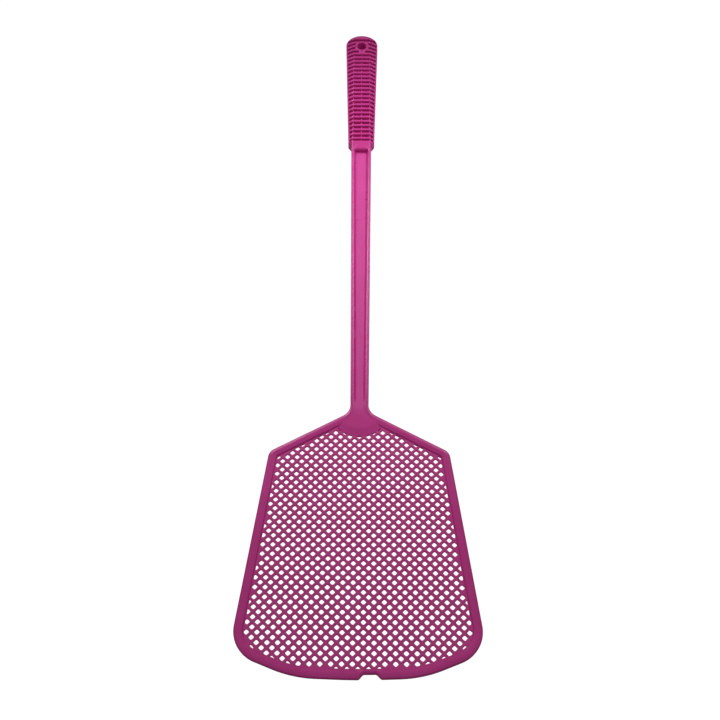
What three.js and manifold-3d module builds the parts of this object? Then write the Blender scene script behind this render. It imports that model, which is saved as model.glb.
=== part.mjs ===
// One-piece moulded fly swatter, built as its named members: the blade (rim and two layers of mesh ribs),
// the neck plate, the channel-section shaft (web and two flanges) and the ribbed grip with its eyelet.
// Millimetres, +Z up. The swatter lies flat along Y with the blade towards -Y.
// The origin is the bottom centre of its box.
import * as THREE from 'three';
import { mergeVertices } from 'three/addons/utils/BufferGeometryUtils.js';
import Module from 'manifold-3d';

const wasm = await Module();
wasm.setup();

// ---- Driving dimensions, in mm and degrees ----
const LENGTH = 469;               // blade tip to grip end
const GAP = 0.3;                  // clearance where one piece is cut by its neighbour

const MESH_PITCH = 5;             // hole to hole along a row; the rows are staggered by half a pitch
const MESH_RIB_WIDTH = 1.5;
const MESH_LAYER = 0.6;           // thickness of each of the two layers of ribs
const MESH_BORDER = 0.8;          // narrow band that joins a layer's rib ends
const MESH_ORIGIN = 64.9;         // from the blade tip to the row that has a hole on the centre line

const RIM_WIDTH = 3.4;
const RIM_THICKNESS = 3.6;
const BOTTOM_RADIUS = 300;        // the blade's bottom edge: nearly flat in the middle
const BOTTOM_SLOPE = 2;
const BOTTOM_BEND = 30;           // from the centre line to where the bottom edge bends up
const BOTTOM_BEND_RADIUS = 60;
const BOTTOM_END_SLOPE = 22;
const LOWER_CORNER_RADIUS = 17;
const SHOULDER_RADIUS = 6;
const SHOULDER_CORNER = new THREE.Vector2(47.5, 120.4);  // from the centre line and from the blade tip
const SIDE_SLOPE = 6.7;           // the sides lean out towards the bottom
const NECK_HALF_WIDTH = 4.9;
const NECK_STATION = 145.3;       // where the shoulder lines would meet the shaft, from the blade tip
const NECK_RADIUS = 8;
const NECK_PLATE_RADIUS = 15.2;   // the neck plate's lower edge
const NECK_PLATE_THICKNESS = 3;
const FOOT_HALF_WIDTH = 14;       // the flanges' feet end and the blade rim starts

const NOTCH_DEPTH = 2.5;          // shallow notch in the bottom edge, beside the centre line
const NOTCH_MOUTH = 11.2;
const NOTCH_FLOOR = 5.4;

const SHAFT_END = 349;            // from the blade tip
const SHAFT_END_HALF_WIDTH = 6.55;
const FLANGE_WIDTH = 1.7;
const WEB_THICKNESS = 1.8;
const WEB_START = 148;
const SHAFT_DEPTH_AT_NECK = 4.6;
const SHAFT_DEPTH_AT_GRIP = 7.2;
const SHAFT_DEPTH_STATION = 158;  // the shaft reaches its depth at the neck here

const GRIP_START = 356.2;         // from the blade tip
const GRIP_START_HALF_WIDTH = 8.55;
const GRIP_END_RADIUS = 11.2;     // also the grip's half width where its round end starts
const GRIP_FLAT_SHARE = 0.6;      // the flat middle of the face, as a share of the width
const GRIP_DEPTH_SHARE = 0.52;    // depth as a share of the width
const GRIP_SIDE_SHARE = 0.3;      // height of the flat side wall, as a share of the width
const GRIP_WALL = 1.3;            // the wall beside the pockets; the round end past them is solid
const GRIP_PLATE_THICKNESS = 2.4; // the middle plate between the front and back pockets
const GRIP_RIB_WIDTH = 0.9;
const GRIP_RIB_SHARE = 0.86;      // height of the lengthwise ribs, as a share of the depth
const FIN_PITCH = 4.14;
const FIN_THICKNESS = 2.1;
const FIN_COUNT = 25;
const FIN_SIDE = 1.3;             // how far a fin reaches past the middle plate it wraps round

const EYELET_STATION = 454.2;     // from the blade tip
const EYELET_HOLE_RADIUS = 3;
const EYELET_STRETCH = 0.75;      // the hole is a little longer than wide: half of the extra length
const EYELET_WALL = 2;

const CHORD = 0.06;               // how far a facet may lie from its arc, in the frame's outline
const HALF_TURN_STEPS = 16;       // facets in half a turn of the grip's, eyelet's and neck plate's arcs
const SAME_POINT = 1e-5;          // corners closer than this are one corner

const PLASTIC = { color: 0xb22c7d, roughness: 0.38, metalness: 0 };

// ---- Values worked out from them ----
const GRIP_END_CENTRE = LENGTH - GRIP_END_RADIUS;
const EYELET_RADIUS = EYELET_HOLE_RADIUS + EYELET_WALL;
const EYELET_REACH = EYELET_RADIUS + EYELET_STRETCH;
const GRIP_DEPTH = 2 * GRIP_END_RADIUS * GRIP_DEPTH_SHARE;   // at its deepest, at the round end
const MID_Z = GRIP_DEPTH / 2;
const CUT = 2 * GRIP_DEPTH;       // tall enough to cut through everything
const FIRST_FIN = GRIP_START + FIN_PITCH - FIN_THICKNESS / 2;   // its centre; one pocket lies before it
const LAST_POCKET_END = FIRST_FIN + FIN_COUNT * FIN_PITCH - FIN_THICKNESS / 2;

// A length from the blade tip as a Y coordinate.
const fromTip = (station) => station - LENGTH / 2;

// ---- Solids ----
function solid(geometry) {
  const bare = geometry.clone();
  bare.deleteAttribute('normal');
  bare.deleteAttribute('uv');
  const merged = mergeVertices(bare, SAME_POINT);
  return new wasm.Manifold(new wasm.Mesh({
    numProp: 3,
    vertProperties: new Float32Array(merged.attributes.position.array),
    triVerts: new Uint32Array(merged.index.array),
  }));
}

function geometryOf(body) {
  const mesh = body.getMesh();
  const geometry = new THREE.BufferGeometry();
  geometry.setAttribute('position', new THREE.BufferAttribute(mesh.vertProperties, mesh.numProp));
  geometry.setIndex(new THREE.BufferAttribute(mesh.triVerts, 1));
  geometry.computeVertexNormals();
  return geometry;
}

// A plan outline given by stations from the blade tip, as a plate centred on the middle plane.
function plate(points, thickness) {
  const shape = new THREE.Shape(points);
  const geometry = new THREE.ExtrudeGeometry(shape, { depth: thickness, bevelEnabled: false });
  geometry.translate(0, fromTip(0), MID_Z - thickness / 2);
  return solid(geometry);
}

// A box from its edges across (x) and along (stations), through everything.
function block(left, right, start, end, thickness = CUT) {
  const geometry = new THREE.BoxGeometry(right - left, end - start, thickness);
  geometry.translate((left + right) / 2, fromTip((start + end) / 2), MID_Z);
  return solid(geometry);
}

// A cross-section in (x, z) that runs from one station to another, growing evenly by its two scales.
function taper(section, start, end, startScale, endScale) {
  const geometry = new THREE.ExtrudeGeometry(new THREE.Shape(section), { depth: 1, bevelEnabled: false });
  const position = geometry.attributes.position;
  for (let i = 0; i < position.count; i += 1) {
    const along = position.getZ(i);
    const scaleX = THREE.MathUtils.lerp(startScale.x, endScale.x, along);
    const scaleZ = THREE.MathUtils.lerp(startScale.y, endScale.y, along);
    const station = THREE.MathUtils.lerp(start, end, along);
    // Mirrored in x, so that turning the section upright keeps its faces outward.
    position.setXYZ(i, -position.getX(i) * scaleX, fromTip(station), MID_Z + position.getY(i) * scaleZ);
  }
  return solid(geometry);
}

// ---- Outlines ----
// An edge is a point and a direction; its inside is to its left.
function edge(x, y, degrees) {
  const angle = THREE.MathUtils.degToRad(degrees);
  return { point: new THREE.Vector2(x, y), direction: new THREE.Vector2(Math.cos(angle), Math.sin(angle)) };
}

function insetEdge({ point, direction }, distance) {
  const inward = new THREE.Vector2(-direction.y, direction.x);
  return { point: point.clone().addScaledVector(inward, distance), direction };
}

function crossing(a, b) {
  const offset = b.point.clone().sub(a.point);
  const along = offset.cross(b.direction) / a.direction.cross(b.direction);
  return a.point.clone().addScaledVector(a.direction, along);
}

// Rounds each corner {point, radius} of a closed polygon with as few chords as CHORD allows.
function roundCorners(corners) {
  const points = [];
  corners.forEach(({ point, radius }, i) => {
    const before = corners.at(i - 1).point.clone().sub(point).normalize();
    const after = corners[(i + 1) % corners.length].point.clone().sub(point).normalize();
    const opening = Math.acos(THREE.MathUtils.clamp(before.dot(after), -1, 1));
    if (radius <= 0) {
      points.push(point.clone());
      return;
    }
    const bisector = before.clone().add(after).normalize();
    const centre = point.clone().addScaledVector(bisector, radius / Math.sin(opening / 2));
    const turn = Math.PI - opening;
    const side = Math.sign(before.cross(after));
    const first = point.clone().addScaledVector(before, radius / Math.tan(opening / 2)).sub(centre);
    const step = 2 * Math.acos(1 - CHORD / radius);
    const count = Math.max(2, Math.ceil(turn / step));
    for (let k = 0; k <= count; k += 1) {
      const spoke = first.clone().rotateAround(new THREE.Vector2(), (-side * turn * k) / count);
      points.push(centre.clone().add(spoke));
    }
  });
  return points;
}

// The swatter's plan from the blade tip to the shaft end, with walls of the given widths taken off it.
function framePlan(rimWall, shaftWall, shaftEnd) {
  const slope = THREE.MathUtils.degToRad(BOTTOM_SLOPE);
  const apex = BOTTOM_RADIUS * (1 - 1 / Math.cos(slope));
  const bend = apex + BOTTOM_BEND * Math.tan(slope);
  const shoulderRun = new THREE.Vector2(NECK_HALF_WIDTH, NECK_STATION).sub(SHOULDER_CORNER);
  const shoulderSlope = THREE.MathUtils.radToDeg(shoulderRun.angle());
  const shaftLean = (SHAFT_END_HALF_WIDTH - NECK_HALF_WIDTH) / (SHAFT_END - NECK_STATION);
  const shaftSlope = THREE.MathUtils.radToDeg(Math.atan2(1, shaftLean));
  const bottom = insetEdge(edge(0, apex, BOTTOM_SLOPE), rimWall);
  const bottomEnd = insetEdge(edge(BOTTOM_BEND, bend, BOTTOM_END_SLOPE), rimWall);
  const side = insetEdge(edge(SHOULDER_CORNER.x, SHOULDER_CORNER.y, 90 + SIDE_SLOPE), rimWall);
  const shoulder = insetEdge(edge(SHOULDER_CORNER.x, SHOULDER_CORNER.y, shoulderSlope), rimWall);
  const shaft = insetEdge(edge(NECK_HALF_WIDTH, NECK_STATION, shaftSlope), shaftWall);
  const end = edge(0, shaftEnd, 180);
  const centreLine = edge(0, 0, 90);
  const right = [
    { point: crossing(bottom, bottomEnd), radius: BOTTOM_BEND_RADIUS - rimWall },
    { point: crossing(bottomEnd, side), radius: LOWER_CORNER_RADIUS - rimWall },
    { point: crossing(side, shoulder), radius: SHOULDER_RADIUS - rimWall },
    { point: crossing(shoulder, shaft), radius: NECK_RADIUS + shaftWall },
    { point: crossing(shaft, end), radius: 0 },
  ];
  const left = right.map(({ point, radius }) => ({ point: new THREE.Vector2(-point.x, point.y), radius }));
  const tip = { point: crossing(bottom, centreLine), radius: BOTTOM_RADIUS - rimWall };
  return roundCorners([tip, ...right, ...left.reverse()]);
}

// A lengthwise oval about the eyelet: a circle drawn out by the stretch both ways.
function ovalPlan(radius) {
  const path = new THREE.Shape();
  path.absarc(0, EYELET_STATION + EYELET_STRETCH, radius, 0, Math.PI);
  path.absarc(0, EYELET_STATION - EYELET_STRETCH, radius, Math.PI, 2 * Math.PI);
  return path.getPoints(HALF_TURN_STEPS);
}

// A disc about the point where the shoulder lines meet the shaft, through everything.
function neckDisc(radius) {
  const circle = new THREE.Shape().absarc(0, NECK_STATION, radius, 0, 2 * Math.PI);
  return plate(circle.getPoints(2 * HALF_TURN_STEPS), CUT);
}

// The grip's plan: straight sides and a round end, drawn in by the inset.
function gripPlan(inset, start = GRIP_START) {
  const path = new THREE.Shape();
  const radius = GRIP_END_RADIUS - inset;
  path.moveTo(-(GRIP_START_HALF_WIDTH - inset), start);
  path.lineTo(GRIP_START_HALF_WIDTH - inset, start);
  path.absarc(0, GRIP_END_CENTRE, radius, 0, Math.PI);
  return path.getPoints(HALF_TURN_STEPS);
}

// ---- Blade, neck and shaft ----
// Side view of the rim and shaft: thin at the blade, deeper towards the grip.
function frameDepth() {
  const start = -RIM_WIDTH;
  const flare = NECK_STATION - RIM_WIDTH;
  const upper = [
    [start, RIM_THICKNESS / 2],
    [flare, RIM_THICKNESS / 2],
    [SHAFT_DEPTH_STATION, SHAFT_DEPTH_AT_NECK / 2],
    [SHAFT_END, SHAFT_DEPTH_AT_GRIP / 2],
  ];
  const lower = upper.map(([station, height]) => [station, -height]).reverse();
  const outline = [...upper, ...lower].map(([station, height]) => new THREE.Vector2(station, height));
  const width = 4 * SHOULDER_CORNER.x;
  const options = { depth: width, bevelEnabled: false };
  const geometry = new THREE.ExtrudeGeometry(new THREE.Shape(outline), options);
  geometry.translate(0, 0, -width / 2);
  // Turn (station, height, across) into (across, along, up).
  const turn = new THREE.Matrix4().set(0, 0, 1, 0, 1, 0, 0, fromTip(0), 0, 1, 0, MID_Z, 0, 0, 0, 1);
  geometry.applyMatrix4(turn);
  return solid(geometry);
}

const frame = plate(framePlan(0, 0, SHAFT_END), CUT)
  .subtract(plate(framePlan(RIM_WIDTH, FLANGE_WIDTH, SHAFT_END + GRIP_WALL), CUT))
  .intersect(frameDepth());
const shaftZone = block(-FOOT_HALF_WIDTH, FOOT_HALF_WIDTH, SHOULDER_CORNER.y, LENGTH);
const leftHalf = block(-LENGTH, 0, 0, 2 * LENGTH);
const rightHalf = block(0, LENGTH, 0, 2 * LENGTH);

function bladeRim() {
  const mouth = [
    new THREE.Vector2(0, -NOTCH_DEPTH),
    new THREE.Vector2(NOTCH_MOUTH, -NOTCH_DEPTH),
    new THREE.Vector2(NOTCH_MOUTH, 0),
    new THREE.Vector2((NOTCH_MOUTH + NOTCH_FLOOR) / 2, NOTCH_DEPTH),
    new THREE.Vector2((NOTCH_MOUTH - NOTCH_FLOOR) / 2, NOTCH_DEPTH),
    new THREE.Vector2(0, 0),
  ];
  return frame.subtract(shaftZone).subtract(plate(mouth, CUT));
}

function shaftFlange(half) {
  return frame.intersect(shaftZone).intersect(half);
}

function neckPlate() {
  return plate(framePlan(RIM_WIDTH, FLANGE_WIDTH, SHAFT_END), NECK_PLATE_THICKNESS)
    .intersect(neckDisc(NECK_PLATE_RADIUS))
    .intersect(block(-FOOT_HALF_WIDTH, FOOT_HALF_WIDTH, 0, WEB_START));
}

function shaftWeb() {
  return plate(framePlan(RIM_WIDTH, FLANGE_WIDTH, SHAFT_END), WEB_THICKNESS)
    .intersect(block(-FOOT_HALF_WIDTH, FOOT_HALF_WIDTH, WEB_START, LENGTH));
}

// One layer of the mesh: parallel ribs on one diagonal, joined by a narrow border inside the rim.
function meshLayer(side) {
  const inner = RIM_WIDTH + MESH_BORDER;
  const region = plate(framePlan(RIM_WIDTH, FLANGE_WIDTH, WEB_START), CUT)
    .subtract(neckDisc(NECK_PLATE_RADIUS))
    .intersect(block(-2 * SHOULDER_CORNER.x, 2 * SHOULDER_CORNER.x, 0, NECK_STATION));
  const opening = plate(framePlan(inner, FLANGE_WIDTH + MESH_BORDER, WEB_START), CUT)
    .subtract(neckDisc(NECK_PLATE_RADIUS + MESH_BORDER));
  let layer = region.subtract(opening);
  const reach = Math.ceil(LENGTH / 2 / MESH_PITCH);
  for (let k = -reach; k < reach; k += 1) {
    const rib = new THREE.BoxGeometry(LENGTH, MESH_RIB_WIDTH, CUT);
    rib.rotateZ((side * Math.PI) / 4);
    rib.translate(0, fromTip(MESH_ORIGIN + (k + 0.5) * MESH_PITCH), MID_Z);
    layer = layer.add(solid(rib).intersect(region));
  }
  const slab = new THREE.BoxGeometry(LENGTH, LENGTH, MESH_LAYER);
  slab.translate(0, 0, MID_Z + (side * MESH_LAYER) / 2);
  return layer.intersect(solid(slab));
}

// ---- Grip ----
// The grip's eight-sided section at the given half width: a flat middle, bevels, and flat side walls.
function gripSection(halfWidth) {
  const flat = halfWidth * GRIP_FLAT_SHARE;
  const height = halfWidth * GRIP_DEPTH_SHARE;
  const side = halfWidth * GRIP_SIDE_SHARE;
  return [
    [flat, height], [-flat, height], [-halfWidth, side], [-halfWidth, -side],
    [-flat, -height], [flat, -height], [halfWidth, -side], [halfWidth, side],
  ].map(([x, z]) => new THREE.Vector2(x, z));
}

const gripGrowth = GRIP_END_RADIUS / GRIP_START_HALF_WIDTH;
const unitScale = new THREE.Vector2(1, 1);
const endScale = new THREE.Vector2(gripGrowth, gripGrowth);

// The grip's outer form: the tapering section, closed by the same section turned about the round end.
function gripForm() {
  const body = taper(gripSection(GRIP_START_HALF_WIDTH), GRIP_START, GRIP_END_CENTRE, unitScale, endScale);
  const half = gripSection(GRIP_END_RADIUS).filter(({ x }) => x > 0).sort((a, b) => a.y - b.y);
  const profile = [new THREE.Vector2(0, half[0].y), ...half, new THREE.Vector2(0, half.at(-1).y)];
  const turned = new THREE.LatheGeometry(profile, 2 * HALF_TURN_STEPS);
  turned.rotateX(Math.PI / 2);
  turned.translate(0, fromTip(GRIP_END_CENTRE), MID_Z);
  return body.add(solid(turned));
}

const gripBody = gripForm();

// The pockets' zone: its plan is drawn in by the inset, and its end by the clearance.
function pocketZone(inset, start, clearance) {
  return plate(gripPlan(inset, start), CUT)
    .intersect(block(-LENGTH, LENGTH, 0, LAST_POCKET_END - clearance));
}

function gripSideWall() {
  return gripBody.subtract(pocketZone(GRIP_WALL, GRIP_START - GRIP_WALL, 0));
}

// The middle plate and the lengthwise ribs on both its faces, grown by a clearance to cut the fins with.
function gripCore(grow) {
  let core = plate(gripPlan(GRIP_WALL + GAP + FIN_SIDE - grow), GRIP_PLATE_THICKNESS + 2 * grow)
    .intersect(pocketZone(0, GRIP_START, GAP));
  const halfRib = GRIP_RIB_WIDTH / 2 + grow;
  const height = GRIP_START_HALF_WIDTH * GRIP_DEPTH_SHARE * GRIP_RIB_SHARE + grow;
  const corner = GRIP_START_HALF_WIDTH * GRIP_FLAT_SHARE - GRIP_RIB_WIDTH / 2;
  const ribStart = GRIP_START + GAP;
  const ribEnd = EYELET_STATION - EYELET_REACH - 2 * GAP;
  const growth = 1 + ((gripGrowth - 1) * (ribEnd - ribStart)) / (GRIP_END_CENTRE - ribStart);
  for (const x of [-corner, 0, corner]) {
    const section = [
      new THREE.Vector2(x + halfRib, height),
      new THREE.Vector2(x - halfRib, height),
      new THREE.Vector2(x - halfRib, -height),
      new THREE.Vector2(x + halfRib, -height),
    ];
    core = core.add(taper(section, ribStart, ribEnd + grow, unitScale, new THREE.Vector2(growth, growth)));
  }
  return core;
}

function hangingEyelet() {
  return plate(ovalPlan(EYELET_RADIUS), GRIP_DEPTH).subtract(plate(ovalPlan(EYELET_HOLE_RADIUS), CUT));
}

const eyeletSpace = plate(ovalPlan(EYELET_RADIUS + GAP), CUT);
const finForm = gripBody.intersect(plate(gripPlan(GRIP_WALL + GAP), CUT))
  .subtract(gripCore(GAP))
  .subtract(eyeletSpace);

function fin(station) {
  const slab = block(-LENGTH, LENGTH, station - FIN_THICKNESS / 2, station + FIN_THICKNESS / 2);
  return finForm.intersect(slab);
}

// The smooth block between the shaft and the first pockets, flaring from the shaft's size to the grip's.
function gripShoulder() {
  const start = new THREE.Vector2(
    SHAFT_END_HALF_WIDTH / GRIP_START_HALF_WIDTH,
    SHAFT_DEPTH_AT_GRIP / 2 / (GRIP_START_HALF_WIDTH * GRIP_DEPTH_SHARE),
  );
  return taper(gripSection(GRIP_START_HALF_WIDTH), SHAFT_END, GRIP_START, start, unitScale);
}

// ---- The object ----
const swatter = new THREE.Group();

function addMember(name, body) {
  const mesh = new THREE.Mesh(geometryOf(body), new THREE.MeshStandardMaterial(PLASTIC));
  mesh.name = name;
  swatter.add(mesh);
}

addMember('blade_rim', bladeRim());
addMember('mesh_ribs_front', meshLayer(1));
addMember('mesh_ribs_back', meshLayer(-1));
addMember('neck_plate', neckPlate());
addMember('shaft_web', shaftWeb());
addMember('shaft_flange_left', shaftFlange(leftHalf));
addMember('shaft_flange_right', shaftFlange(rightHalf));
addMember('grip_shoulder', gripShoulder());
addMember('grip_side_wall', gripSideWall());
addMember('grip_core', gripCore(0).subtract(eyeletSpace));
addMember('hanging_eyelet', hangingEyelet());

for (let index = 0; index < FIN_COUNT; index += 1) {
  const number = String(index + 1).padStart(2, '0');
  const station = FIRST_FIN + index * FIN_PITCH;
  if (station < EYELET_STATION - EYELET_REACH) {
    addMember(`grip_fin_${number}`, fin(station));
  } else {
    // The eyelet stands between the two halves of the fins beside it.
    addMember(`grip_fin_${number}_left`, fin(station).intersect(leftHalf));
    addMember(`grip_fin_${number}_right`, fin(station).intersect(rightHalf));
  }
}

export default swatter;
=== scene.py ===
# The visible surface of a one-piece moulded fly swatter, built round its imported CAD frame.
#
# Design lengths are millimetres, as (across, station, height): the station runs from the blade's tip towards
# the grip, and the height is above the middle plane, about which both faces are alike. A cross-section is a
# list of corners, each (distance in from the outer edge, height, radius of its rounding).
import math

import bmesh
import bpy
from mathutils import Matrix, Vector
from mathutils.kdtree import KDTree


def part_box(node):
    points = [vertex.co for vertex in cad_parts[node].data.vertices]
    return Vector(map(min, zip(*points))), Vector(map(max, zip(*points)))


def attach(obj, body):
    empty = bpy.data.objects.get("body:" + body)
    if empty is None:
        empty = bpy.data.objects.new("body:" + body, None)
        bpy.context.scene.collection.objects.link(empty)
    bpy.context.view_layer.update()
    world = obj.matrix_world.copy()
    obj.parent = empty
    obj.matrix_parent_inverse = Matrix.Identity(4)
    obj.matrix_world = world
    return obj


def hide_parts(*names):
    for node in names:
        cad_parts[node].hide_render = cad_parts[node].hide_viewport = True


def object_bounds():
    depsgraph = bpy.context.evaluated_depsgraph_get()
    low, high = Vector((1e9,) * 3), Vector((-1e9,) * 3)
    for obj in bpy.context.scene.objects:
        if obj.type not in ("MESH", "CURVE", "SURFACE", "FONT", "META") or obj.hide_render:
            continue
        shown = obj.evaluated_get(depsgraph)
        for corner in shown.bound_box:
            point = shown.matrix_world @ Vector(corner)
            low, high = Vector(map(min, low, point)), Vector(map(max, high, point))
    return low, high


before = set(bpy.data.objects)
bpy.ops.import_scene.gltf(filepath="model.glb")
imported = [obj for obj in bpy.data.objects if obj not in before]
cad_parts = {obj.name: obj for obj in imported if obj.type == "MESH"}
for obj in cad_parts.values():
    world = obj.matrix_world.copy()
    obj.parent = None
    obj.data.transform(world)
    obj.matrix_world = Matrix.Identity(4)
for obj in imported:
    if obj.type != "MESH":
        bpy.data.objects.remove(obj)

CAD_LOW, CAD_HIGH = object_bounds()
MM = 0.001
ORIGIN = Vector((0, CAD_LOW.y, (CAD_LOW.z + CAD_HIGH.z) / 2))   # the blade's tip, on the middle plane


def design_box(node):
    """A CAD node's lowest and highest corners in design millimetres."""
    low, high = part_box(node)
    return (low - ORIGIN) / MM, (high - ORIGIN) / MM


# ---- Places and sizes from the frame ----
RIM_HALF_DEPTH = design_box("blade_rim")[1].z
MESH_HALF_DEPTH = design_box("mesh_ribs_front")[1].z
FOOT_X, SHAFT_END, SHAFT_END_HALF_DEPTH = design_box("shaft_flange_right")[1]
WEB_START = design_box("shaft_web")[0].y
WEB_HALF_DEPTH = design_box("shaft_web")[1].z
PLATE_BOTTOM = design_box("neck_plate")[0].y
PLATE_HALF_DEPTH = design_box("neck_plate")[1].z
GRIP_START_HALF_WIDTH, GRIP_START, GRIP_START_HALF_DEPTH = design_box("grip_shoulder")[1]
GRIP_END_RADIUS, LENGTH, GRIP_END_HALF_DEPTH = design_box("grip_side_wall")[1]
GRIP_END_CENTRE = LENGTH - GRIP_END_RADIUS
EYELET_LOW, EYELET_HIGH = design_box("hanging_eyelet")
EYELET_STATION = (EYELET_LOW.y + EYELET_HIGH.y) / 2
EYELET_RADIUS = EYELET_HIGH.x
EYELET_STRETCH = (EYELET_HIGH.y - EYELET_LOW.y) / 2 - EYELET_RADIUS
CORE_END = design_box("grip_core")[1].y
FINS = sorted(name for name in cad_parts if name.startswith("grip_fin_"))

# ---- Outline of the blade and the shaft, as in the CAD ----
BOTTOM_RADIUS = 300
BOTTOM_SLOPE = math.radians(2)
BOTTOM_BEND = 30                   # from the centre line to where the bottom edge bends up
BOTTOM_BEND_RADIUS = 60
BOTTOM_END_SLOPE = math.radians(22)
LOWER_CORNER_RADIUS = 17
SHOULDER_CORNER = Vector((47.5, 120.4))
SHOULDER_RADIUS = 6
SIDE_SLOPE = math.radians(6.7)
NECK_CORNER = Vector((4.9, 145.3))
NECK_RADIUS = 8
SHAFT_END_HALF_WIDTH = 6.55
NOTCH_DEPTH = 2.5
NOTCH_MOUTH = 11.2                 # width at the edge, from the centre line to the right
NOTCH_FLOOR = 5.4                  # width at its full depth
OUTLINE_STEP = 0.5

# ---- The frame's cross-section ----
SEAM = 0.04                        # a member that runs into another lies this far under its surface
SHARP = 0.01                       # radius of a corner that is left sharp
RIM_WIDTH = 5.0
RIM_DRAFT = 0.3                    # the inner side of the rim slopes this far across
RIM_FOOT_RADIUS = 0.15
# The corners of a crowned top, each (distance in from the outer edge, drop, radius of its rounding).
RIM_TOP = [(0.2, 0.55, 0.7), (2.2, 0, 3), (4.3, 0.55, 0.4)]
FLANGE_TOP = [(0.1, 0.25, 0.45), (0.95, 0, 1.2), (1.85, 0.25, 0.3)]
FLANGE_FOOT = 3.1                  # across the flange, from its outer side to the foot of its inner side
FLANGE_FOOT_RADIUS = 0.5
SHAFT_SECTION_WIDTH = 3.6
NECK_BLEND = (141.0, 152.0)        # the rim's section turns into the shaft's between these stations
SHAFT_DEPTH_BLEND = (141.9, 158.0)
SHAFT_HALF_DEPTH_AT_NECK = 2.3
PLATE_INSET = 2.6                  # the neck plate and the web end this far inside the outline
PLATE_EDGE_SLOPE = 4.5             # the plate's edge slopes down to the mesh over this length
PLATE_EDGE_RADIUS = 8
PLATE_LIP_RADIUS = 0.05            # where the edge starts, at the mesh's face
WEB_INSET = 2.0
WEB_BLEND = 12                     # the web thins from the neck plate's thickness over this length

# ---- How fine the meshes are ----
CORNER_CHORDS = 4
PLATE_CHORDS = 96
EYELET_CHORDS = 64
CORE_HOLE_CHORDS = 48
LAND_MIDDLE = 0.95                 # radius of the innermost ring of points on the grip's solid end
MESH_ARC_CHORDS = 24
GRIP_SIDE_STEPS = 40
GRIP_END_STEPS = 48
CORE_END_STEPS = 6
RECESS_END_STEPS = 6
SHOULDER_STEPS = 8
FIN_SAMPLES = 24
FIN_EDGE_STEPS = 3
MERGE_DISTANCE = 0.002             # points nearer than this are one point
SHARP_ANGLE = math.radians(50)     # shading is smooth across edges that turn less than this

# ---- The mesh ----
MESH_PITCH = 5.0
MESH_ORIGIN = 64.9                 # station of a row with a hole on the centre line
MESH_RIB_WIDTH = 1.42
HOLE_CORNER_RADIUS = 0.5
HOLE_BEVEL = 0.3
MESH_INSET = 3.4                   # the mesh ends inside the rim
MESH_UNDER_PLATE = 1.5             # and this far inside the neck plate's edge
HOLE_INSET = 4.6                   # no hole has its middle nearer to the outline

# ---- The grip ----
GRIP_FLAT = 5.9                    # half the width of the flat middle of the face
GRIP_SIDE_SHARE = 0.3              # height of the flat side over the half width
GRIP_DEPTH_SHARE = GRIP_END_HALF_DEPTH / GRIP_END_RADIUS
GRIP_SIDE_RADIUS = 1.1
GRIP_BEVEL_RADIUS = 1.0
GRIP_WALL = 0.95
WALL_TOP_RISE = 0.1                # the wall's inner edge stands this much over its outer edge
WALL_RADII = (0.6, 0.3)            # of the outer and the inner edge
SHOULDER_STRAIGHT = 0.6            # share of the shoulder's length that is still as wide as the shaft
SHOULDER_MIDDLE = 2                # at the grip, the recess's side corners have moved in to here
SHOULDER_MIDDLE_RADIUS = 0.4
CORE_HALF_DEPTH = 1.2
RIB_WIDTH = 0.7
RIB_SHARE = 0.78                   # height of the lengthwise ribs over the half depth
RIB_EDGE = 0.3
FIN_EDGE = 0.6                     # radius of a fin's top edges
FIN_ROOT = 0.7                     # how far a fin cut by the eyelet's ring reaches into the ring
FIN_DROP = 0.1                     # the fins' tops lie this far under the grip's surface
BEVEL_SOFTNESS = 0.15              # how far the flat and the bevel blend into each other on a fin's top
RECESS_END_RADIUS = 1.7
HOLE_RADIUS = 3.0
EYELET_EDGE = 0.7
EYELET_TAB = 2.2                   # half the width of the web that joins the ring to the last whole fin
LAST_WHOLE_FIN = max(design_box(fin)[1].y for fin in FINS if fin.count("_") == 2)
RIB_END = LAST_WHOLE_FIN - FIN_EDGE   # the ribs end, and the web to the ring starts, inside that fin
CAD_GAP = 0.3                      # between the CAD's neighbouring solids
LAND_START = CORE_END + CAD_GAP    # the solid land at the grip's round end, past the last pocket

# ---- Looks ----
PLASTIC_MAIN = (0.60, 0.038, 0.28)
PLASTIC_DEEP = (0.56, 0.032, 0.25)
PLASTIC_WORN = (0.68, 0.12, 0.40)
PLASTIC_ROUGHNESS = (0.26, 0.36)
PLASTIC_IOR = 1.5
PLASTIC_SPECULAR = 0.3
CLOUD_NOISE = (60, 3)              # scale and detail
CLOUD_RANGE = (0.35, 0.65)         # the stretch of the noise's values that is used
SMEAR_NOISE = (140, 4)
SMEAR_RANGE = (0.3, 0.7)
GRAIN_NOISE = (2500, 2)
GRAIN_DEPTH = 0.015
GRAIN_STRENGTH = 0.25
WORN_EDGES = (0.53, 0.62)          # pointiness at which an edge starts to be paler, and is palest
WORN_SHARE = 0.35
CAMERA_LENS = 50.6
CAMERA_SENSOR = 36
CAMERA_ELEVATION = math.radians(54)
CAMERA_AIM_SHARE = 0.385           # of the length, from the tip
CAMERA_DISTANCE = 1.211            # lengths of the swatter
CAMERA_AZIMUTH = math.radians(0.3)
CAMERA_AIM_ACROSS = 0.1            # millimetres to the right of the centre line
WHITE = 1.05                       # strength of the white that the camera sees round the swatter
FLOOR_SIZE = 6                     # metres
FLOOR_GAP = 0.04                   # the floor lies this far under the swatter
FLOOR_COLOUR = (0.4, 0.4, 0.4)
FILL_STRENGTH = 0.56
# Each light's name, station, across, height, size, the station it faces, beam in degrees, and watts.
LIGHTS = [
    ("key", 350, 150, 260, 150, 350, 80, 0.06),
    ("back_left", 560, -200, 300, 160, 250, 60, 0.115),
    ("back_right", 560, 200, 300, 160, 250, 60, 0.065),
]


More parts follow.
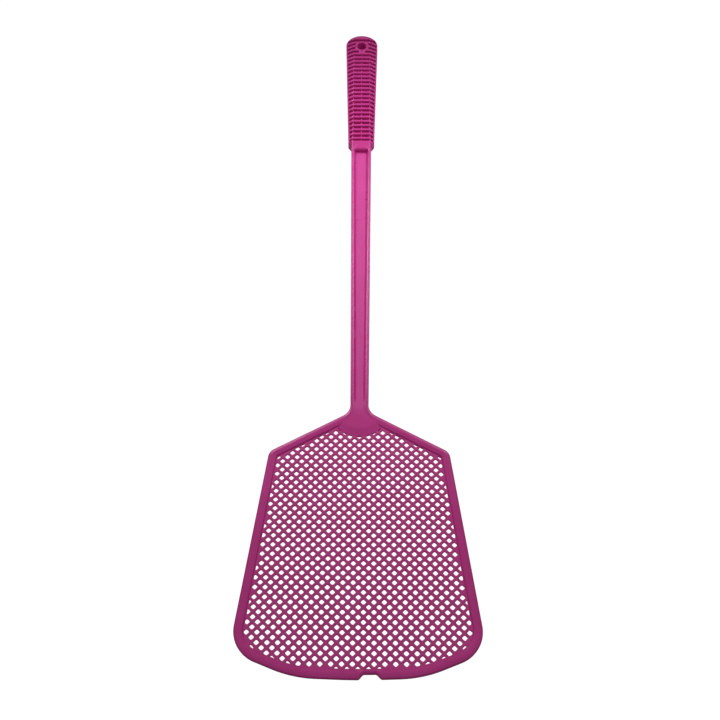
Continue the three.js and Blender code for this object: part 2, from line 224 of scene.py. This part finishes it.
# ---- Curves ----
def turned(heading):
    """The unit vector along a heading, and the one to its left."""
    along = Vector((math.cos(heading), math.sin(heading)))
    return along, Vector((-along.y, along.x))


def trace(corners, line_step, arc_steps):
    """Points and headings along a polyline of (point, radius) corners, rounded.

    No chord on a straight stretch is longer than line_step, and arc_steps gives the number of chords of an
    arc from its turn and radius.
    """
    points = [corner for corner, _ in corners]
    headings = [math.atan2(b.y - a.y, b.x - a.x) for a, b in zip(points, points[1:])]
    here = points[0]
    trail = [(here, headings[0])]
    for index, (corner, radius) in enumerate(corners[1:]):
        heading = headings[index]
        last = index == len(headings) - 1
        turn = 0 if last else (headings[index + 1] - heading + math.pi) % math.tau - math.pi
        along, left = turned(heading)
        entry = corner - along * radius * math.tan(abs(turn) / 2)
        lines = max(1, math.ceil((entry - here).length / line_step))
        trail += [(here.lerp(entry, k / lines), heading) for k in range(1, lines + 1)]
        here = entry
        if last or radius == 0:
            continue
        centre = entry + left * math.copysign(radius, turn)
        steps = arc_steps(abs(turn), radius)
        for k in range(1, steps + 1):
            _, left = turned(heading + turn * k / steps)
            here = centre - left * math.copysign(radius, turn)
            trail.append((here, heading + turn * k / steps))
    return trail


def profile(corners):
    """Points of a cross-section from its corners: as many for every section with as many rounded ones."""
    pairs = [(Vector((across, height)), radius) for across, height, radius in corners]
    return [point for point, _ in trace(pairs, math.inf, lambda turn, radius: CORNER_CHORDS)]


def lerp(a, b, share):
    """The value a share of the way from a to b."""
    return a + (b - a) * share


def smooth(value, low, high):
    """0 at low, 1 at high, and an S-curve between."""
    share = min(max((value - low) / (high - low), 0), 1)
    return share * share * (3 - 2 * share)


def crossing(point_a, heading_a, point_b, heading_b):
    """Where two lines meet, each given by a point and a heading."""
    along_a, _ = turned(heading_a)
    along_b, _ = turned(heading_b)
    return point_a + along_a * ((point_b - point_a).cross(along_b) / along_a.cross(along_b))


def oval(radius, steps):
    """The outline round the hanging hole: a circle drawn out along the grip."""
    ring = []
    for k in range(steps):
        angle = math.tau * (k + 0.5) / steps
        stretch = math.copysign(EYELET_STRETCH, math.sin(angle))
        ring.append((radius * math.cos(angle), EYELET_STATION + stretch + radius * math.sin(angle)))
    return ring


# ---- Meshes ----
def both_faces(upper):
    """A closed section from its upper half, which starts and ends on the middle plane."""
    return upper + [Vector((point.x, -point.y)) for point in reversed(upper[1:-1])]


def ring_faces(rings, count, closed=False):
    """Quads between rings of as many points each, laid one after another."""
    faces = []
    for ring in range(rings if closed else rings - 1):
        start = ring * count
        following = (ring + 1) % rings * count
        for k in range(count):
            beside = (k + 1) % count
            faces.append((start + k, start + beside, following + beside, following + k))
    return faces


def loft(rings, closed=False):
    """Points and faces of a solid through rings of as many points each, with flat ends unless closed."""
    count = len(rings[0])
    faces = ring_faces(len(rings), count, closed)
    if not closed:
        faces += [tuple(range(count)), tuple(range((len(rings) - 1) * count, len(rings) * count))]
    return [point for ring in rings for point in ring], faces


def disc(profile_points, station, steps):
    """Points and faces of a turned solid, from its profile's (radius, height) points, smallest last."""
    levels = [(point.x, point.y) for point in reversed(profile_points)]
    levels += [(radius, -height) for radius, height in reversed(levels[:-1])]
    rings = []
    for radius, height in levels:
        edge = [turned(math.tau * k / steps)[0] * radius for k in range(steps)]
        rings.append([(point.x, station + point.y, height) for point in edge])
    return loft(rings)


def prism(outline, half_depth):
    """Points and faces of a plate with an outline of (across, station) points."""
    return loft([[(x, y, side * half_depth) for x, y in outline] for side in (1, -1)])


def joined(solids):
    """Several solids' points and faces as one."""
    points, faces = [], []
    for solid_points, solid_faces in solids:
        faces += [tuple(len(points) + corner for corner in face) for face in solid_faces]
        points += solid_points
    return points, faces


def new_object(name, solid):
    """An object in the row frame from design points, its faces turned outward."""
    points, faces = solid
    mesh = bpy.data.meshes.new(name)
    mesh.from_pydata([ORIGIN + Vector(point) * MM for point in points], [], faces)
    work = bmesh.new()
    work.from_mesh(mesh)
    bmesh.ops.remove_doubles(work, verts=work.verts, dist=MERGE_DISTANCE * MM)
    bmesh.ops.recalc_face_normals(work, faces=work.faces)
    work.to_mesh(mesh)
    work.free()
    piece = bpy.data.objects.new(name, mesh)
    bpy.context.scene.collection.objects.link(piece)
    return piece


def boolean(piece, operation, solid):
    """Joins or cuts a piece with another solid, and keeps the result as its mesh."""
    tool = new_object("tool", solid)
    modifier = piece.modifiers.new("boolean", "BOOLEAN")
    modifier.operation = operation
    modifier.solver = "MANIFOLD"
    modifier.object = tool
    evaluated = piece.evaluated_get(bpy.context.evaluated_depsgraph_get())
    result = bpy.data.meshes.new_from_object(evaluated)
    piece.modifiers.clear()
    piece.data = result
    bpy.data.objects.remove(tool)


def finished(piece, *nodes):
    """Gives a piece its shading, material and body, and hides the CAD nodes that it stands for."""
    piece.data.shade_smooth()
    piece.data.set_sharp_from_angle(angle=SHARP_ANGLE)
    piece.modifiers.new("weighted", "WEIGHTED_NORMAL").keep_sharp = True
    piece.data.materials.clear()
    piece.data.materials.append(PLASTIC)
    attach(piece, "root")
    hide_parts(*nodes)


# ---- Blade rim and shaft flanges: one section swept along one outline ----
def frame_corners():
    """The outline's corners from the left end of the shaft, round the blade, to the right end."""
    tip = Vector((0, BOTTOM_RADIUS * (1 - 1 / math.cos(BOTTOM_SLOPE))))
    bend = tip + Vector((BOTTOM_BEND, BOTTOM_BEND * math.tan(BOTTOM_SLOPE)))
    side = crossing(bend, BOTTOM_END_SLOPE, SHOULDER_CORNER, math.pi / 2 + SIDE_SLOPE)
    foot_share = (SHOULDER_CORNER.x - FOOT_X) / (SHOULDER_CORNER.x - NECK_CORNER.x)
    right = [
        (bend, BOTTOM_BEND_RADIUS),
        (side, LOWER_CORNER_RADIUS),
        (SHOULDER_CORNER, SHOULDER_RADIUS),
        (SHOULDER_CORNER.lerp(NECK_CORNER, foot_share), 0),
        (NECK_CORNER, NECK_RADIUS),
        (Vector((SHAFT_END_HALF_WIDTH, SHAFT_END)), 0),
    ]
    left = [(Vector((-point.x, point.y)), radius) for point, radius in reversed(right)]
    return left + [(tip, BOTTOM_RADIUS)] + right


def outline_chords(turn, radius):
    """How many chords an arc of the outline has, each about as long as a step along a straight stretch."""
    return max(2, math.ceil(turn * radius / OUTLINE_STEP))


def frame_path():
    """Points and headings of the outline, close together."""
    return trace(frame_corners(), OUTLINE_STEP, outline_chords)


def notch_depth(point):
    """How far the outline is drawn in at the notch in the blade's lower edge."""
    if point.y > NOTCH_DEPTH:
        return 0
    from_middle = abs(point.x - NOTCH_MOUTH / 2)
    return NOTCH_DEPTH * (1 - smooth(from_middle, NOTCH_FLOOR / 2, NOTCH_MOUTH / 2))


def frame_half_depth(station):
    """Half the depth of the rim and the flanges."""
    along_shaft = max(station - SHAFT_DEPTH_BLEND[1], 0) / (SHAFT_END - SHAFT_DEPTH_BLEND[1])
    shaft = lerp(SHAFT_HALF_DEPTH_AT_NECK, SHAFT_END_HALF_DEPTH, along_shaft)
    return lerp(RIM_HALF_DEPTH, shaft, smooth(station, *SHAFT_DEPTH_BLEND))


def web_half_depth(station):
    """Half the thickness of the neck plate and the web."""
    return lerp(PLATE_HALF_DEPTH, WEB_HALF_DEPTH, smooth(station, WEB_START, WEB_START + WEB_BLEND))


def crowned(corners, top):
    """The outer side and the crowned top of a section, from the top's (across, drop, radius) corners."""
    return [(0, 0, 0)] + [(across, top - drop, radius) for across, drop, radius in corners]


def flange_corners(top, floor):
    """A flange of the shaft: outer side, crowned top, drafted inner side and the web's edge."""
    return crowned(FLANGE_TOP, top) + [(FLANGE_FOOT, floor, FLANGE_FOOT_RADIUS)]


def blended(first, second, share):
    """A section between two others of as many corners."""
    return [[lerp(a, b, share) for a, b in zip(*pair)] for pair in zip(first, second)]


def frame_section(station):
    """The section from the outer edge inward: the blade's rim, or the shaft's flange."""
    top = frame_half_depth(station)
    floor = web_half_depth(station) - SEAM
    foot = MESH_HALF_DEPTH - SEAM
    blade = crowned(RIM_TOP, top) + [
        (RIM_WIDTH - RIM_DRAFT, foot, RIM_FOOT_RADIUS),
        (RIM_WIDTH, foot, SHARP),
        (RIM_WIDTH, 0, 0),
    ]
    shaft = flange_corners(top, floor) + [
        (SHAFT_SECTION_WIDTH, floor, SHARP),
        (SHAFT_SECTION_WIDTH, 0, 0),
    ]
    return profile(blended(blade, shaft, smooth(station, *NECK_BLEND)))


def frame_ring(point, heading):
    """The frame's section standing on a point of the outline, squeezed inward at the notch."""
    _, inward = turned(heading)
    section = frame_section(point.y)
    depth = notch_depth(point)
    ring = []
    for inset, height in both_faces(section):
        place = point + inward * (depth + inset * (1 - depth / section[-1].x))
        ring.append((place.x, place.y, height))
    return ring


def is_foot(point):
    """Whether an outline point is one of the two feet, where a flange meets the blade's rim."""
    return abs(abs(point.x) - FOOT_X) < MERGE_DISTANCE and point.y > SHOULDER_CORNER.y


def make_frame(path):
    """The blade rim from foot to foot, and the two flanges above the feet."""
    feet = [index for index, (point, _) in enumerate(path) if is_foot(point)]
    rings = [frame_ring(*step) for step in path]
    finished(new_object("shaft_flange_left_moulded", loft(rings[:feet[0] + 1])), "shaft_flange_left")
    finished(new_object("blade_rim_moulded", loft(rings[feet[0]:feet[1] + 1])), "blade_rim")
    finished(new_object("shaft_flange_right_moulded", loft(rings[feet[1]:])), "shaft_flange_right")


def inside_frame(path, blade_inset, shaft_inset):
    """The outline drawn in, to a line hidden inside the frame's section."""
    outline = []
    for point, heading in path:
        inset = lerp(blade_inset, shaft_inset, smooth(point.y, *NECK_BLEND))
        outline.append(point + turned(heading)[1] * inset)
    return outline


# ---- Neck plate and web ----
def make_neck_plate(path):
    """A smooth plate between the two feet: a thin disc with a rounded edge, trimmed inside the frame."""
    radius = NECK_CORNER.y - PLATE_BOTTOM
    edge = profile([
        (radius, 0, 0),
        (radius, MESH_HALF_DEPTH, PLATE_LIP_RADIUS),
        (radius - PLATE_EDGE_SLOPE, PLATE_HALF_DEPTH, PLATE_EDGE_RADIUS),
        (radius / 2, PLATE_HALF_DEPTH, 0),
    ])
    plate = new_object("neck_plate_moulded", disc(edge, NECK_CORNER.y, PLATE_CHORDS))
    inside = inside_frame(path, PLATE_INSET, WEB_INSET)
    blade_side = [place for place in inside if place.y < WEB_START + WEB_BLEND]
    boolean(plate, "INTERSECT", prism(blade_side, RIM_HALF_DEPTH))
    below_web = [(-FOOT_X, 0), (FOOT_X, 0), (FOOT_X, WEB_START), (-FOOT_X, WEB_START)]
    boolean(plate, "INTERSECT", prism(below_web, RIM_HALF_DEPTH))
    finished(plate, "neck_plate")


def make_web(path):
    """The recessed web between the flanges."""
    inside = inside_frame(path[len(path) // 2:], PLATE_INSET, WEB_INSET)
    right = [place for place in inside if place.y > WEB_START]
    first = Vector((right[0].x, WEB_START))
    rows = [first] + right + [Vector((right[-1].x, SHAFT_END))]
    rings = []
    for place in rows:
        half = web_half_depth(place.y)
        x = place.x
        rings.append([(x, place.y, half), (-x, place.y, half), (-x, place.y, -half), (x, place.y, -half)])
    finished(new_object("shaft_web_moulded", loft(rings)), "shaft_web")


# ---- Mesh ----
def hole_ring(centre, grow, height):
    """A diamond hole's outline with rounded corners, its sides moved out by grow."""
    side = MESH_PITCH / math.sqrt(2) - MESH_RIB_WIDTH + 2 * grow
    radius = HOLE_CORNER_RADIUS + grow
    middle = side / math.sqrt(2) - radius * math.sqrt(2)
    ring = []
    for quarter in range(4):
        towards = quarter * math.pi / 2
        for turn in (-math.pi / 4, 0, math.pi / 4):
            place = turned(towards)[0] * middle + turned(towards + turn)[0] * radius
            ring.append((centre[0] + place.x, centre[1] + place.y, height))
    return ring


def hole_plug(centre):
    """What a hole takes out of the mesh: a little wider at both faces, so that the ribs have soft edges."""
    top = MESH_HALF_DEPTH
    levels = [
        (2 * HOLE_BEVEL, top + HOLE_BEVEL),
        (0, top - HOLE_BEVEL),
        (0, HOLE_BEVEL - top),
        (2 * HOLE_BEVEL, -top - HOLE_BEVEL),
    ]
    return loft([hole_ring(centre, grow, height) for grow, height in levels])


def hole_centres(path):
    """The middles of the staggered rows of holes that are far enough from the outline."""
    outline = KDTree(len(path))
    for index, (point, _) in enumerate(path):
        outline.insert(point.to_3d(), index)
    outline.balance()
    across = 2 * math.ceil(CAD_HIGH.x / MM / MESH_PITCH)
    below = -2 * math.ceil(MESH_ORIGIN / MESH_PITCH)
    above = 2 * math.ceil((NECK_CORNER.y - MESH_ORIGIN) / MESH_PITCH)
    centres = []
    for row in range(below, above):
        for column in range(-across, across + 1):
            middle = Vector((column * MESH_PITCH / 2, MESH_ORIGIN + row * MESH_PITCH / 2, 0))
            _, _, to_outline = outline.find(middle)
            if (row + column) % 2 == 0 and to_outline > HOLE_INSET:
                centres.append(middle)
    return centres


def mesh_outline(path):
    """The edge of the lattice: inside the rim, and along an arc under the neck plate."""
    centre = Vector((0, NECK_CORNER.y))
    radius = NECK_CORNER.y - PLATE_BOTTOM - MESH_UNDER_PLATE
    inside = inside_frame(path, MESH_INSET, MESH_INSET)
    border = [place for place in inside if place.y < centre.y and (place - centre).length > radius]
    start = math.atan2(border[-1].y - centre.y, border[-1].x)
    for k in range(1, MESH_ARC_CHORDS):
        angle = lerp(start, -math.pi - start, k / MESH_ARC_CHORDS)
        border.append(centre + turned(angle)[0] * radius)
    return border


def make_mesh(path):
    """The lattice: a thin sheet with diamond holes."""
    sheet = new_object("blade_mesh_moulded", prism(mesh_outline(path), MESH_HALF_DEPTH))
    boolean(sheet, "DIFFERENCE", joined([hole_plug(centre) for centre in hole_centres(path)]))
    finished(sheet, "mesh_ribs_front", "mesh_ribs_back")


# ---- Grip ----
def grip_half_width(station):
    """Half the width of the grip where its sides are straight."""
    share = (station - GRIP_START) / (GRIP_END_CENTRE - GRIP_START)
    return lerp(GRIP_START_HALF_WIDTH, GRIP_END_RADIUS, share)


def bevel_slope(half_width):
    """How steeply the bevel climbs from the flat side to the flat middle of the face."""
    return (GRIP_DEPTH_SHARE - GRIP_SIDE_SHARE) * half_width / (half_width - GRIP_FLAT)


def shoulder_stations():
    """Stations of the shoulder's sections: close together round the end wall's top edge, then even."""
    turns = [math.pi / 2 * k / RECESS_END_STEPS for k in range(RECESS_END_STEPS + 1)]
    stations = [SHAFT_END + RECESS_END_RADIUS * (1 - math.cos(turn)) for turn in turns]
    rounded_to = stations[-1]
    return stations + [lerp(rounded_to, GRIP_START, k / SHOULDER_STEPS) for k in range(1, SHOULDER_STEPS + 1)]


def shoulder_ring(station):
    """The shoulder's section, between the shaft's with its recess and the grip's with its bevels."""
    share = (station - SHAFT_END) / (GRIP_START - SHAFT_END)
    widening = max(share - SHOULDER_STRAIGHT, 0) / (1 - SHOULDER_STRAIGHT)
    half_width = lerp(SHAFT_END_HALF_WIDTH, GRIP_START_HALF_WIDTH, widening)
    top = lerp(SHAFT_END_HALF_DEPTH, GRIP_START_HALF_DEPTH, share)
    back = min((station - SHAFT_END) / RECESS_END_RADIUS, 1)
    end_wall = top - RECESS_END_RADIUS * (1 - math.sqrt(1 - (1 - back) ** 2))
    grip = [
        (0, 0, 0),
        (0, GRIP_SIDE_SHARE * half_width, GRIP_SIDE_RADIUS),
        (half_width - GRIP_FLAT, top, GRIP_BEVEL_RADIUS),
        (half_width - GRIP_FLAT / 2, top, SHARP),
        (half_width - SHOULDER_MIDDLE, top, SHOULDER_MIDDLE_RADIUS),
    ]
    corners = blended(flange_corners(top, end_wall), grip, share)
    middle = (half_width, corners[-1][1], 0)
    half = [(half_width - inset, height) for inset, height in profile(corners + [middle])]
    upper = half + [(-x, height) for x, height in reversed(half[:-1])]
    ring = upper + [(x, -height) for x, height in reversed(upper[1:-1])]
    return [(x, station, height) for x, height in ring]


def make_grip_shoulder():
    """The solid block that widens from the shaft to the grip. Its shaft end is the end wall of the recess."""
    rings = [shoulder_ring(station) for station in shoulder_stations()]
    finished(new_object("grip_shoulder_moulded", loft(rings)), "grip_shoulder")


def grip_path():
    """Points and headings of the grip's outline, from its right start round the end to its left start."""
    side = Vector((GRIP_START_HALF_WIDTH, GRIP_START))
    widest = Vector((GRIP_END_RADIUS, GRIP_END_CENTRE))
    heading = math.atan2(widest.y - side.y, widest.x - side.x)
    right = [(side.lerp(widest, k / GRIP_SIDE_STEPS), heading) for k in range(GRIP_SIDE_STEPS + 1)]
    arc = []
    for k in range(1, GRIP_END_STEPS):
        angle = math.pi * k / GRIP_END_STEPS
        arc.append((Vector((0, GRIP_END_CENTRE)) + turned(angle)[0] * GRIP_END_RADIUS, angle + math.pi / 2))
    left = [(Vector((-point.x, point.y)), -heading) for point, heading in reversed(right)]
    return right + arc + left


def make_grip_side_wall():
    """The wall round the grip, and the solid land at its round end."""
    rings = []
    for point, heading in grip_path():
        side = GRIP_SIDE_SHARE * min(grip_half_width(point.y), GRIP_END_RADIUS)
        section = profile([
            (0, 0, 0),
            (0, side, WALL_RADII[0]),
            (GRIP_WALL, side + WALL_TOP_RISE, WALL_RADII[1]),
            (GRIP_WALL, 0, 0),
        ])
        _, inward = turned(heading)
        rings.append([(*(point + inward * inset), height) for inset, height in both_faces(section)])
    wall = new_object("grip_side_wall_moulded", grip_end())
    past_pockets = [(-LENGTH, LAND_START), (LENGTH, LAND_START), (LENGTH, 2 * LENGTH), (-LENGTH, 2 * LENGTH)]
    boolean(wall, "INTERSECT", prism(past_pockets, LENGTH))
    boolean(wall, "UNION", loft(rings))
    finished(wall, "grip_side_wall")


def grip_end():
    """The whole of the grip's round end, solid: its land is what lies past the last pocket."""
    return disc(profile([
        (GRIP_END_RADIUS, 0, 0),
        (GRIP_END_RADIUS, GRIP_SIDE_SHARE * GRIP_END_RADIUS, GRIP_SIDE_RADIUS),
        (GRIP_FLAT, GRIP_END_HALF_DEPTH, GRIP_BEVEL_RADIUS),
        (LAND_MIDDLE, GRIP_END_HALF_DEPTH, 0),
    ]), GRIP_END_CENTRE, 2 * GRIP_END_STEPS)


def grip_height(x, station, taken_off):
    """Height of the grip's surface over a point, less what is taken off at right angles to each facet."""
    past_centre = max(station - GRIP_END_CENTRE, 0)
    half_width = min(grip_half_width(station), GRIP_END_RADIUS)
    slope = bevel_slope(half_width)
    inset = half_width - math.hypot(x, past_centre)
    top = GRIP_DEPTH_SHARE * half_width - taken_off
    bevel = GRIP_SIDE_SHARE * half_width + slope * inset - taken_off * math.hypot(1, slope)
    return (top + bevel - math.hypot(top - bevel, BEVEL_SOFTNESS)) / 2


def make_grip_core():
    """The plate in the middle of the grip and its three lengthwise ribs, with room for the hanging hole."""
    right = [(grip_half_width(station) - GRIP_WALL / 2, station) for station in (GRIP_START, GRIP_END_CENTRE)]
    radius = right[-1][0]
    end_turn = math.asin((LAND_START + GRIP_WALL - GRIP_END_CENTRE) / radius)
    for k in range(1, CORE_END_STEPS + 1):
        place = turned(end_turn * k / CORE_END_STEPS)[0] * radius + Vector((0, GRIP_END_CENTRE))
        right.append(tuple(place))
    outline = right + [(-x, y) for x, y in reversed(right)]
    core = new_object("grip_core_moulded", prism(outline, CORE_HALF_DEPTH))
    for side in (-1, 0, 1):
        boolean(core, "UNION", grip_rib(side))
    boolean(core, "DIFFERENCE", prism(oval(HOLE_RADIUS + GRIP_WALL, CORE_HOLE_CHORDS), LENGTH))
    finished(core, "grip_core")


def grip_rib(side):
    """A lengthwise rib along the middle of the grip or an edge of its flat, up to the last whole fin."""
    half = RIB_WIDTH / 2
    middle = side * (GRIP_FLAT - half)
    rings = []
    for station in (GRIP_START, RIB_END):
        height = RIB_SHARE * GRIP_DEPTH_SHARE * grip_half_width(station)
        section = profile([(-half, 0, 0), (-half, height, RIB_EDGE), (half, height, RIB_EDGE), (half, 0, 0)])
        rings.append([(middle + x, station, z) for x, z in both_faces(section)])
    return loft(rings)


def make_fin(node):
    """A cross fin with rounded top edges, rooted in the side walls or, where it is cut, in the ring."""
    low, high = design_box(node)
    reach = grip_half_width(min((low.y + high.y) / 2, GRIP_END_CENTRE)) - GRIP_WALL / 2
    if low.x < 0 < high.x:
        start, end = -reach, reach
    else:
        near = min(abs(low.x), abs(high.x)) - FIN_ROOT
        start, end = sorted(math.copysign(x, low.x + high.x) for x in (near, reach))
    turns = [math.pi / 2 * k / FIN_EDGE_STEPS for k in range(FIN_EDGE_STEPS + 1)]
    levels = [(low.y + FIN_EDGE * (1 - math.cos(turn)), FIN_EDGE * (1 - math.sin(turn))) for turn in turns]
    levels += [(low.y + high.y - station, taken_off) for station, taken_off in reversed(levels)]
    rings = []
    for station, taken_off in levels:
        upper = []
        for k in range(FIN_SAMPLES + 1):
            x = lerp(start, end, k / FIN_SAMPLES)
            upper.append((x, station, grip_height(x, station, taken_off + FIN_DROP)))
        rings.append(upper + [(x, y, -z) for x, y, z in reversed(upper)])
    finished(new_object(f"{node}_moulded", loft(rings)), node)


def make_eyelet():
    """The raised ring round the hanging hole, and the web that joins it to the last whole fin."""
    section = both_faces(profile([
        (EYELET_RADIUS, 0, 0),
        (EYELET_RADIUS, EYELET_HIGH.z, EYELET_EDGE),
        (HOLE_RADIUS, EYELET_HIGH.z, EYELET_EDGE),
        (HOLE_RADIUS, 0, 0),
    ]))
    outlines = [[(x, y, height) for x, y in oval(reach, EYELET_CHORDS)] for reach, height in section]
    ring = new_object("hanging_eyelet_moulded", loft(outlines, closed=True))
    tab_end = EYELET_LOW.y + EYELET_EDGE
    tab = [(-EYELET_TAB, RIB_END), (EYELET_TAB, RIB_END), (EYELET_TAB, tab_end), (-EYELET_TAB, tab_end)]
    boolean(ring, "UNION", prism(tab, EYELET_HIGH.z - EYELET_EDGE / 2))
    finished(ring, "hanging_eyelet")


# ---- Material ----
def noise(tree, place, scale, detail):
    """A node's value that varies over the object as noise."""
    texture = tree.nodes.new("ShaderNodeTexNoise")
    texture.inputs["Scale"].default_value = scale
    texture.inputs["Detail"].default_value = detail
    tree.links.new(place, texture.inputs["Vector"])
    return texture.outputs["Fac"]


def mapped(tree, value, given, wanted):
    """A node's value taken from one (low, high) range to another, and held within it."""
    node = tree.nodes.new("ShaderNodeMapRange")
    for socket, number in zip(("From Min", "From Max", "To Min", "To Max"), (*given, *wanted)):
        node.inputs[socket].default_value = number
    tree.links.new(value, node.inputs["Value"])
    return node.outputs["Result"]


def mixed(tree, share, first, second):
    """A colour between two others. Each is an (r, g, b) tuple or a node's colour."""
    node = tree.nodes.new("ShaderNodeMix")
    node.data_type = "RGBA"
    tree.links.new(share, node.inputs["Factor"])
    for socket, colour in ((node.inputs["A"], first), (node.inputs["B"], second)):
        if isinstance(colour, tuple):
            socket.default_value = (*colour, 1)
        else:
            tree.links.new(colour, socket)
    return node.outputs["Result"]


def pink_plastic():
    """Moulded plastic: satin gloss, slightly cloudy colour, fine grain and paler worn edges."""
    material = bpy.data.materials.new("moulded_plastic")
    material.use_nodes = True
    tree = material.node_tree
    shader = tree.nodes["Principled BSDF"]
    shader.inputs["IOR"].default_value = PLASTIC_IOR
    shader.inputs["Specular IOR Level"].default_value = PLASTIC_SPECULAR
    place = tree.nodes.new("ShaderNodeTexCoord").outputs["Object"]

    cloudiness = mapped(tree, noise(tree, place, *CLOUD_NOISE), CLOUD_RANGE, (0, 1))
    cloud = mixed(tree, cloudiness, PLASTIC_DEEP, PLASTIC_MAIN)
    pointiness = tree.nodes.new("ShaderNodeNewGeometry").outputs["Pointiness"]
    edge = mapped(tree, pointiness, WORN_EDGES, (0, WORN_SHARE))
    tree.links.new(mixed(tree, edge, cloud, PLASTIC_WORN), shader.inputs["Base Color"])
    smear = mapped(tree, noise(tree, place, *SMEAR_NOISE), SMEAR_RANGE, PLASTIC_ROUGHNESS)
    tree.links.new(smear, shader.inputs["Roughness"])

    bump = tree.nodes.new("ShaderNodeBump")
    bump.inputs["Strength"].default_value = GRAIN_STRENGTH
    bump.inputs["Distance"].default_value = GRAIN_DEPTH * MM
    tree.links.new(noise(tree, place, *GRAIN_NOISE), bump.inputs["Height"])
    tree.links.new(bump.outputs["Normal"], shader.inputs["Normal"])
    return material


# ---- Stage ----
def make_camera():
    """Looks down the swatter from beyond the blade's end."""
    camera = bpy.data.objects.new("camera", bpy.data.cameras.new("camera"))
    camera.data.sensor_width = CAMERA_SENSOR
    camera.data.lens = CAMERA_LENS
    target = ORIGIN + Vector((CAMERA_AIM_ACROSS, CAMERA_AIM_SHARE * LENGTH, 0)) * MM
    camera.rotation_euler = (math.pi / 2 - CAMERA_ELEVATION, 0, CAMERA_AZIMUTH)
    back = camera.rotation_euler.to_matrix() @ Vector((0, 0, CAMERA_DISTANCE * LENGTH * MM))
    camera.location = target + back
    bpy.context.scene.collection.objects.link(camera)
    bpy.context.scene.camera = camera


def white_to_camera(tree, output, shader):
    """Shows a surface or the world as plain white to the camera, and as its own shader to everything else."""
    path = tree.nodes.new("ShaderNodeLightPath")
    kind = "ShaderNodeEmission" if output.type == "OUTPUT_MATERIAL" else "ShaderNodeBackground"
    white = tree.nodes.new(kind)
    white.inputs["Color"].default_value = (1, 1, 1, 1)
    white.inputs["Strength"].default_value = WHITE
    mix = tree.nodes.new("ShaderNodeMixShader")
    tree.links.new(path.outputs["Is Camera Ray"], mix.inputs["Fac"])
    tree.links.new(shader.outputs[0], mix.inputs[1])
    tree.links.new(white.outputs[0], mix.inputs[2])
    tree.links.new(mix.outputs[0], output.inputs["Surface"])


def make_floor():
    """A plain white floor just under the swatter."""
    half = FLOOR_SIZE / 2
    level = CAD_LOW.z - FLOOR_GAP * MM
    corners = [(-half, -half, level), (half, -half, level), (half, half, level), (-half, half, level)]
    mesh = bpy.data.meshes.new("floor")
    mesh.from_pydata(corners, [], [(0, 1, 2, 3)])
    floor = bpy.data.objects.new("floor", mesh)
    material = bpy.data.materials.new("floor_paper")
    material.use_nodes = True
    tree = material.node_tree
    paper = tree.nodes["Principled BSDF"]
    paper.inputs["Base Color"].default_value = (*FLOOR_COLOUR, 1)
    paper.inputs["Roughness"].default_value = 1
    white_to_camera(tree, tree.nodes["Material Output"], paper)
    mesh.materials.append(material)
    bpy.context.scene.collection.objects.link(floor)


def make_world():
    """Soft light from above that fades towards the horizon."""
    world = bpy.data.worlds.new("studio")
    world.use_nodes = True
    tree = world.node_tree
    fill = tree.nodes["Background"]
    fill.inputs["Color"].default_value = (1, 1, 1, 1)
    direction = tree.nodes.new("ShaderNodeSeparateXYZ")
    tree.links.new(tree.nodes.new("ShaderNodeTexCoord").outputs["Generated"], direction.inputs["Vector"])
    overhead = tree.nodes.new("ShaderNodeMapRange")
    overhead.inputs["To Max"].default_value = FILL_STRENGTH
    tree.links.new(direction.outputs["Z"], overhead.inputs["Value"])
    tree.links.new(overhead.outputs["Result"], fill.inputs["Strength"])
    white_to_camera(tree, tree.nodes["World Output"], fill)
    bpy.context.scene.world = world


def make_light(name, station, across, height, size, faces, beam, watts):
    """A square softbox over the swatter, facing a place on its centre line, with a beam in degrees."""
    lamp = bpy.data.lights.new(name, "AREA")
    lamp.size = size * MM
    lamp.spread = math.radians(beam)
    lamp.energy = watts
    light = bpy.data.objects.new(name, lamp)
    light.location = ORIGIN + Vector((across, station, height)) * MM
    target = ORIGIN + Vector((0, faces, 0)) * MM
    light.rotation_euler = (light.location - target).to_track_quat("Z", "Y").to_euler()
    bpy.context.scene.collection.objects.link(light)


# ---- The scene ----
PLASTIC = pink_plastic()
bpy.context.scene.view_settings.view_transform = "Standard"
make_camera()
make_floor()
make_world()
for light in LIGHTS:
    make_light(*light)

OUTLINE = frame_path()
make_frame(OUTLINE)
make_neck_plate(OUTLINE)
make_web(OUTLINE)
make_mesh(OUTLINE)
make_grip_shoulder()
make_grip_side_wall()
make_grip_core()
for fin in FINS:
    make_fin(fin)
make_eyelet()
